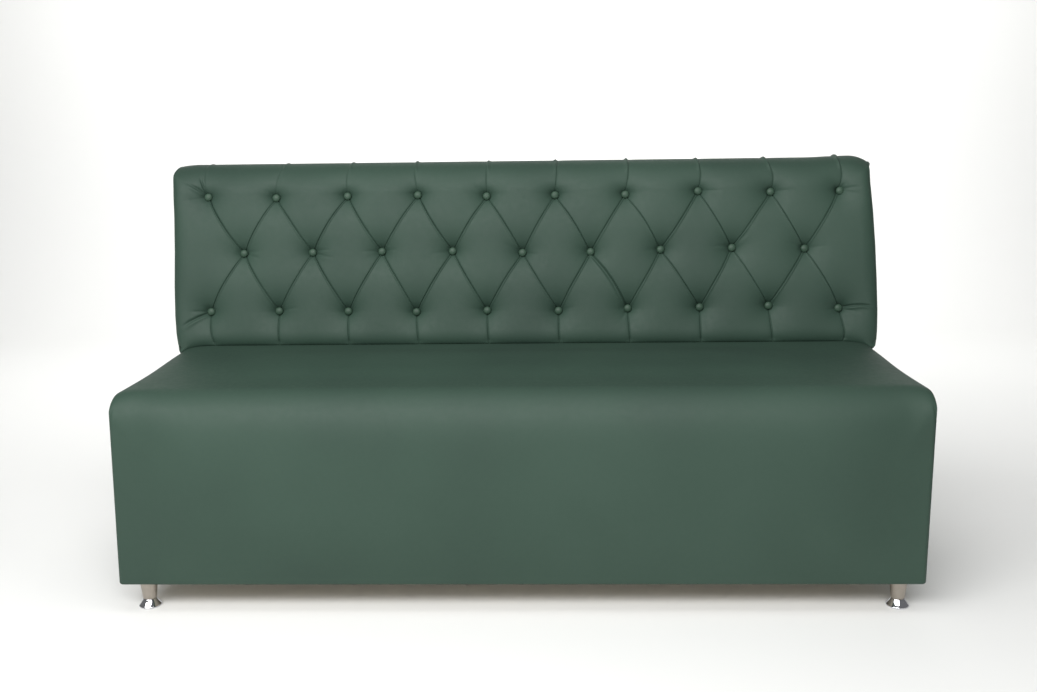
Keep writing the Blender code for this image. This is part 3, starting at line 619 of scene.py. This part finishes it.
def sideBoxing(form, mirror):
    # loft between the pad's rim and the rear edge: lines of equal share run from one to the other, with a slight belly
    rim = padRims[mirror][:, 1:]
    lowCount = form["lowSteps"]
    low = np.linspace(baseLevel, rim[0, 1] - form["gap"], lowCount)
    frontLine = np.concatenate([np.stack([np.full(lowCount, form["joint"]), low], -1), rim])
    rimU = np.maximum.accumulate(np.clip((rim[:, 1] - seatTop) / cosLean - 0.012, 0, pad["length"]))
    rimU *= pad["length"] / rimU[-1]
    rearLow = np.stack([np.full(lowCount, yKnee - pad["rear"]), low - form["gap"]], -1)
    rearHigh = backPlace(np.zeros(len(rimU)), np.full(len(rimU), pad["rear"]), rimU)[:, 1:]
    rearLine = np.concatenate([rearLow, rearHigh])
    t = np.linspace(0, 1, form["columns"] + 1)[None, :, None]
    flat = frontLine[:, None] * (1 - t) + rearLine[:, None] * t
    rise = np.linspace(0, 1, len(frontLine))[:, None]
    face = form["half"] - form["inset"]
    x = face + form["bulge"] * np.sin(np.pi * t[..., 0]) * np.sin(np.pi * rise) ** 0.5
    rimX = np.concatenate([np.full(lowCount, face), np.abs(padRims[mirror][:, 0]) + form["rimGap"]])[:, None]
    x = x + (rimX - face) * (1 - ease(0.0, form["settle"], t[..., 0]))
    points = np.concatenate([x[..., None], flat], -1)
    tuck = points[:, :1] + form["rimTuck"]
    tuck[:lowCount, :, :2] = form["lowTuck"] + (0, form["joint"])
    points = np.concatenate([tuck, points], 1) * (mirror, 1, 1)
    return points, gridFaces(*points.shape[:2])


def addShell(piece, thickness):
    shell = piece.modifiers.new("thickness", "SOLIDIFY")
    shell.thickness, shell.offset = thickness, -1.0
    return piece


for sideName, mirror in (("left", -1.0), ("right", 1.0)):
    points, faces = sideBoxing(boxing, mirror)
    piece = makePiece(f"sideBoxing.{sideName}", points, faces, greenLeatherette,
                      slotName="green_leatherette", replaced=(f"back_side_{sideName}",))
    area = faceOut(piece, (mirror, 0, 0))
    addShell(piece, boxing["thickness"])


rearSheet = dict(half=caseHalf, columns=90, lowSteps=30, highSteps=32, kneeGap=0.006, topGap=0.0005, inset=0.0008,
                 tackWave=0.0008, tackPitch=0.21, tackTurn=3, tackFade=0.12, belly=0.0010, thickness=0.0013)


def rearCover(form):
    # sheet over the rear: straight up behind the seat, then up the lean. Sine waves pulled between its tacks
    # fade upwards, and a shallow belly spans the middle
    x = np.linspace(-form["half"], form["half"], form["columns"])
    u = np.linspace(form["kneeGap"], pad["length"] - form["topGap"], form["highSteps"])
    lowZ = np.linspace(baseLevel, seatTop - form["kneeGap"], form["lowSteps"])
    low = np.stack([np.full(len(lowZ), yKnee), lowZ], -1)
    high = backPlace(np.zeros(len(u)), np.zeros(len(u)), u)[:, 1:]
    line = np.concatenate([low, high])
    share = np.linspace(0, 1, len(line))[:, None]
    wave = np.sin(x[None] * 2 * np.pi / form["tackPitch"] + form["tackTurn"] * share)
    tacks = form["tackWave"] * wave * np.exp(-share / form["tackFade"])
    belly = form["belly"] * np.sin(np.pi * share) * np.cos(np.pi * x[None] / (2 * form["half"]))
    y = line[:, :1] + tacks + belly - form["inset"]
    points = np.stack([np.repeat(x[None], len(line), 0), y, np.repeat(line[:, 1:], len(x), 1)], -1)
    return points, gridFaces(*points.shape[:2])


points, faces = rearCover(rearSheet)
rearPiece = makePiece("rearCover", points, faces, greenLeatherette,
                      slotName="green_leatherette", replaced=("back_rear_cover",))
faceOut(rearPiece, (0, 1, 0))
addShell(rearPiece, rearSheet["thickness"])

welt = dict(radius=0.0019, first=9, every=2, steps=12, out=0.0006, up=0.0004)


def weltTube(form, mirror):
    # small round section carried along the pad's rim from the seat to the rear top edge
    rim = padRims[mirror][form["first"]::form["every"]]
    path = rim[:, 1:]
    along = np.gradient(path, axis=0)
    along /= np.linalg.norm(along, axis=1)[:, None]
    out = np.stack([-along[:, 1], along[:, 0]], -1)
    turn = np.linspace(0, 2 * np.pi, form["steps"], endpoint=False)[None]
    x = np.abs(rim[:, :1]) + form["out"] + form["radius"] * np.sin(turn)
    section = path[:, None] + out[:, None] * (form["up"] + form["radius"] * np.cos(turn))[..., None]
    rings = np.concatenate([mirror * x[..., None], section], -1)
    return cappedTube(rings, rings[[0, -1]].mean(1))


for sideName, mirror in (("left", -1.0), ("right", 1.0)):
    makePiece(f"backWelt.{sideName}", *weltTube(welt, mirror), greenLeatherette, slotName="green_leatherette")
print("side boxing, rear cover and welts")


# seat cover: one panel over top and front, side panels, hem turned under the base

def seatCover(form):
    # cap: the height falls by a superellipse at each end and by a slow bend that tightens upwards along the front,
    # and the two add up; towards each end the slow bend becomes a tight one. wall: the cap's border carried straight
    # down, a rounded hem and a strip under the base. The front bulges as a parabola of its height
    half, rear, front = form["half"], form["rear"], form["front"]
    profiles = []
    for run, fall, powers in (form["frontBend"], form["endBend"]):
        away, up = (way[::-1] for way in softBend(form["bendSteps"], *powers))
        profiles.append((np.concatenate([np.linspace(rear, front + run, form["depthSteps"])[:-1], front + run * away]),
                         np.concatenate([np.zeros(form["depthSteps"] - 1), fall * (1 - up)])))
    (y, frontFall), (endY, endFall) = profiles
    share = (y - rear) / (front - rear)
    sideRun, sideFall = (np.where(share < 0.5, v[0] + (v[1] - v[0]) * ease(0, 0.5, share),
                                  v[1] + (v[2] - v[1]) * ease(0.5, 1, share))
                         for v in (form["sideRun"], form["sideFall"]))
    roll = np.linspace(0, np.pi / 2, form["rollSteps"])
    rollIn, rollUp = 1 - np.cos(roll) ** (2 / form["power"]), np.sin(roll) ** (2 / form["power"])
    level = (2 * crowd(form["acrossSteps"], share=0.35) - 1)[1:-1]
    edgeX = sideRun * rollIn[:, None] - half
    x = np.concatenate([edgeX, level[:, None] * (half - sideRun), -edgeX[::-1]])
    sideDrop = np.concatenate([form["leftShare"] * (1 - rollUp), 0 * level, 1 - rollUp[::-1]])[:, None] * sideFall
    middle = 1 - np.clip(x / (half - sideRun), -1, 1) ** 2
    along = np.clip((share - form["crownFrom"]) / (1 - form["crownFrom"]), 0, 1)
    crown = form["crown"] * middle ** 2 * np.sin(np.pi * along) ** 2
    lift = crown - form["droop"] * ease(form["droopFrom"], 1.0, share)
    tight = ease(form["endFrom"], half, np.abs(x))
    z = form["top"] + lift - sideDrop - frontFall - tight * (endFall - frontFall)
    cap = np.stack([x, y + tight * (endY - y), z], -1)
    border = np.concatenate([cap[0], cap[1:-1, -1], cap[-1, ::-1]])
    down = np.linspace(0, 1, form["wallSteps"])
    turn = np.linspace(0, np.pi / 2, 6)[1:]
    under = np.linspace(form["hemRadius"], form["hem"], 4)[1:]
    inset = np.concatenate([0 * down, form["hemRadius"] * (1 - np.cos(turn)), under])
    hemLine = np.concatenate([form["hemLevel"] + form["hemRadius"] * (1 - np.sin(turn)), 0 * under + form["hemLevel"]])
    height = np.concatenate([border[:, 2:] * (1 - down) + (form["hemLevel"] + form["hemRadius"]) * down,
                             np.tile(hemLine, (len(border), 1))], 1)
    wallX, wallY = np.clip(border[:, :1], inset - half, half - inset), np.maximum(border[:, 1:2], front + inset)
    wall = np.stack([wallX, wallY, height], -1)
    points = np.concatenate([cap.reshape(-1, 3), wall.reshape(-1, 3)])
    faces = gridFaces(*cap.shape[:2]) + gridFaces(*wall.shape[:2], start=cap.shape[0] * cap.shape[1])
    # upright corners rounded in plan, from a square to a quarter circle
    side, x, y, z = np.sign(points[:, 0]), np.abs(points[:, 0]), points[:, 1], points[:, 2]
    cornerX, cornerY = half - form["cornerRadius"], front + form["cornerRadius"]
    outX, outY = x - cornerX, cornerY - y
    shrink = np.where((outX > 0) & (outY > 0), np.maximum(outX, outY) / np.hypot(outX, outY), 1)
    x, y = np.where(shrink < 1, cornerX + outX * shrink, x), np.where(shrink < 1, cornerY - outY * shrink, y)
    rise = (2 * z - form["top"] - form["hemLevel"]) / (form["top"] - form["hemLevel"])
    bulging = (1 - ease(form["bellyFrom"], half, x)) * (1 - ease(*(front + np.array(form["bellyDepth"])), y))
    y = y - form["frontBelly"] * (1 - rise ** 2) * bulging
    x = side * x
    x = x + form["leftLean"] * (z - form["leanFrom"]) / form["leanRise"] * ease(form["leanReach"] - half, -half, x)
    return np.stack([x, y, z], -1), faces


# air pressure under the top panel, which is held at its edges; the lift is capped. Across, front and rear are the
# distances over which it comes free
puff = dict(pressure=3.2, frames=18, quality=6, cap=0.0060, mass=0.12, tension=20.0, bending=4.0, grades=20,
            across=(0.50, 0.77), front=(0.05, 0.18), rear=(0.16, 0.04), above=0.40)


def puffSeat(piece, form):
    # cloth pass: the panel swells between its held edges, and only the free part keeps the lift
    mesh, scene = piece.data, bpy.context.scene
    place = np.empty(3 * len(mesh.vertices))
    mesh.vertices.foreach_get("co", place)
    place = place.reshape(-1, 3)
    x, y, z = place.T
    frontFree = ease(*(seatFront + np.array(form["front"])), y)
    rearFree = 1 - ease(*(seatRear - np.array(form["rear"])), y)
    free = (1 - ease(*form["across"], np.abs(x))) * frontFree * rearFree * (z > form["above"])
    held = piece.vertex_groups.new(name="held")
    grade = np.round(form["grades"] * (1 - free)).astype(int)
    for share in range(1, form["grades"] + 1):
        held.add(np.flatnonzero(grade == share).tolist(), share / form["grades"], "REPLACE")
    cloth = piece.modifiers.new("puff", "CLOTH")
    cloth.point_cache.frame_start, cloth.point_cache.frame_end = 1, form["frames"]
    setup = cloth.settings
    setup.quality, setup.mass, setup.vertex_group_mass = form["quality"], form["mass"], "held"
    setup.effector_weights.gravity = 0.0
    setup.tension_stiffness = setup.compression_stiffness = form["tension"]
    setup.bending_stiffness = form["bending"]
    setup.use_pressure, setup.uniform_pressure_force = True, form["pressure"]
    for step in range(1, form["frames"] + 1):
        scene.frame_set(step)
    swollen = np.empty(place.size)
    piece.evaluated_get(bpy.context.evaluated_depsgraph_get()).data.vertices.foreach_get("co", swollen)
    lift = (swollen.reshape(-1, 3) - place) * free[:, None]
    far = np.linalg.norm(lift, axis=1)
    lift *= np.minimum(1, form["cap"] / np.maximum(far, 1e-9))[:, None]
    piece.modifiers.remove(cloth)
    piece.vertex_groups.remove(held)
    scene.frame_set(1)
    mesh.vertices.foreach_set("co", (place + lift).ravel())
    mesh.update()
    typical = np.percentile(far[free > 0.5], 50)
    print(f"seat cover swollen by {1000 * far.max():.1f} mm at most, {1000 * typical:.1f} mm typical")


points, faces = seatCover(seat)
seatPiece = makePiece("seatCover", points, faces, greenLeatherette,
                      slotName="green_leatherette", replaced=("seat_cover", "seat_foam"), weld=1e-5)
faceOut(seatPiece, (0, 0, 1))
puffSeat(seatPiece, puff)
addShell(seatPiece, seat["thickness"])
print("seat cover:", len(seatPiece.data.polygons), "faces")


# feet: tapered sleeve, threaded stud, flared base

foot = dict(height=0.064, topRadius=0.0185, waistRadius=0.0135, baseRadius=0.0225, flare=0.017, lip=0.003,
            stud=0.0040, bore=0.0041, studLow=0.006, studHigh=0.046, pitch=0.00125, threadDepth=0.0007,
            chamfer=(0.0008, 0.0006), steps=72)


def sleeveProfile(form):
    # straight taper with a softened lower edge and a blind bore for the stud
    top, waist, flare, ceiling = form["topRadius"], form["waistRadius"], form["flare"], form["studHigh"] + fit
    z = np.linspace(form["height"] - 0.0006, flare + 0.0013, 20)
    taper = waist + (top - waist) * (z - flare) / (form["height"] - flare)
    return np.concatenate([[(0, form["height"]), (top - 0.0006, form["height"])], np.stack([taper, z], -1),
                           [(waist - 0.0003, flare + 0.0006), (waist - 0.0010, flare + fit),
                            (form["bore"], flare + fit), (form["bore"], ceiling), (0, ceiling)]])


def baseProfile(form):
    # hollow-sided flare down to a rounded lip, flat below, bored for the stud
    t = np.linspace(0, 1, 22)
    waist, wide, flare, bottom = form["waistRadius"], form["baseRadius"], form["flare"], form["studLow"] - fit
    radius = waist + (wide - waist) * (0.80 * t + 0.20 * t ** 2.2)
    z = flare - 0.0006 + (form["lip"] - flare + 0.0006) * t
    return np.concatenate([[(0, bottom), (form["bore"], bottom), (form["bore"], flare), (waist - 0.0008, flare)],
                           np.stack([radius, z], -1),
                           [(wide + 0.00003, form["lip"] - 0.0006), (wide, 0.0009), (wide - 0.0004, 0.0003),
                            (wide - 0.0012, 0), (wide - 0.004, 0), (0, 0)]])


def threadedStud(form):
    # radius falls by a triangle wave of the thread's pitch that climbs once round per turn; both ends are chamfered
    low, high = form["studLow"], form["studHigh"]
    z = np.arange(low, high + 1e-9, form["pitch"] / 8)
    turn = np.linspace(0, 2 * np.pi, 28, endpoint=False)
    phase = (z[:, None] / form["pitch"] - turn[None] / (2 * np.pi)) % 1
    chamferLength, chamferDepth = form["chamfer"]
    full = np.minimum(np.minimum(z - low, high - z) / chamferLength, 1)[:, None]
    radius = form["stud"] - form["threadDepth"] * np.abs(2 * phase - 1) - chamferDepth * (1 - full)
    rings = np.stack([radius * np.cos(turn), radius * np.sin(turn), np.repeat(z[:, None], len(turn), 1)], -1)
    return cappedTube(rings, [(0, 0, low), (0, 0, high)])


for place in ("front_left", "front_right", "rear_left", "rear_right"):
    low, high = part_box(f"foot_sleeve_{place}")
    axis = np.array([(low.x + high.x) / 2, (low.y + high.y) / 2, 0.0])
    for kind, node, shape, material, body, slotName in (
            ("footSleeve", "foot_sleeve", turned(sleeveProfile(foot), foot["steps"]), satinNickel, "sofa",
             "satin_steel"),
            ("footStud", "foot_stud", threadedStud(foot), zincSteel, f"stud_{place}", "zinc_steel"),
            ("footBase", "foot_base", turned(baseProfile(foot), foot["steps"]), polishedChrome, f"base_{place}",
             "polished_chrome")):
        makePiece(f"{kind}.{place}", shape[0] + axis, shape[1], material, body, slotName,
                  replaced=(f"{node}_{place}",), sharp=38)
print("four feet")


# boards and rails of the frame keep their shapes

for node in nodes.values():
    if not node.hide_render:
        node.data.materials.clear()
        node.data.materials.append(birchPlywood)


# studio: pale floor that sweeps up behind, soft light from the front

studio = dict(floor="#f0f0ee", width=9.0, front=-5.0, wall=2.6, bend=1.2, rise=5.0, fibre=0.02,
              air="#f2f4f6", glow=0.20)


def studioSweep(form):
    # floor line, quarter bend and wall line, carried across the width
    turn = np.linspace(0, np.pi / 2, 20)
    bend = np.stack([form["wall"] + form["bend"] * np.sin(turn), form["bend"] * (1 - np.cos(turn))], -1)
    line = np.concatenate([[(form["front"], 0)], bend, [(form["wall"] + form["bend"], form["rise"])]])
    x = np.linspace(-form["width"] / 2, form["width"] / 2, 12)
    across = np.repeat(x[None], len(line), 0)
    points = np.stack([across, *(np.repeat(way[:, None], len(x), 1) for way in line.T)], -1)
    return points.reshape(-1, 3), gridFaces(len(line), len(x))


# matt background paper: even and white, without a gloss of its own
paper = newMaterial("paperBackdrop")
paperPlace = addNode(paper, "ShaderNodeTexCoord")
paperFibre = addNode(paper, "ShaderNodeTexNoise", {"Scale": 1 / studio["fibre"], "Detail": 4.0},
                     {"Vector": (paperPlace, "Object")})
paperRough = addNode(paper, "ShaderNodeMapRange", {"To Min": 0.85, "To Max": 0.95}, {"Value": (paperFibre, "Fac")})
paperShader = addNode(paper, "ShaderNodeBsdfPrincipled",
                      {"Base Color": linearColour(studio["floor"]), "Specular IOR Level": 0.1},
                      {"Roughness": (paperRough, "Result")})
addNode(paper, "ShaderNodeOutputMaterial", links={"Surface": (paperShader, "BSDF")})
sweepPoints, sweepFaces = studioSweep(studio)
sweepMesh = bpy.data.meshes.new("studioSweep")
sweepMesh.from_pydata(sweepPoints.tolist(), [], sweepFaces)
sweepMesh.shade_smooth()
sweepMesh.materials.append(paper)
sweep = bpy.data.objects.new("studioSweep", sweepMesh)
bpy.context.scene.collection.objects.link(sweep)

lights = [  # name, place, aim, width, height, watts
    ("keyLight", (-0.70, -2.35, 2.0), (-0.1, 0.0, 0.5), 3.8, 0.9, 109),
    ("topLight", (-0.1, -0.9, 2.9), (0.0, -0.1, 0.4), 2.4, 1.2, 25),
    ("wallLight", (0.0, 1.2, 2.7), (0.0, 3.8, 1.5), 5.0, 0.8, 124),
]
for name, place, aim, width, height, watts in lights:
    data = bpy.data.lights.new(name, "AREA")
    data.shape, data.size, data.size_y, data.energy = "RECTANGLE", width, height, watts
    lamp = bpy.data.objects.new(name, data)
    back = np.array(place) - np.array(aim)
    back /= np.linalg.norm(back)
    side = np.cross((0, 0, 1), back)
    side /= np.linalg.norm(side)
    standAt(lamp, (side, np.cross(back, side), back), place)

world = bpy.data.worlds.new("studioAir")
world.use_nodes = True
air = world.node_tree.nodes["Background"].inputs
air["Color"].default_value, air["Strength"].default_value = linearColour(studio["air"]), studio["glow"]
bpy.context.scene.world = world
bpy.context.scene.view_settings.view_transform = "Standard"
print("studio lit")
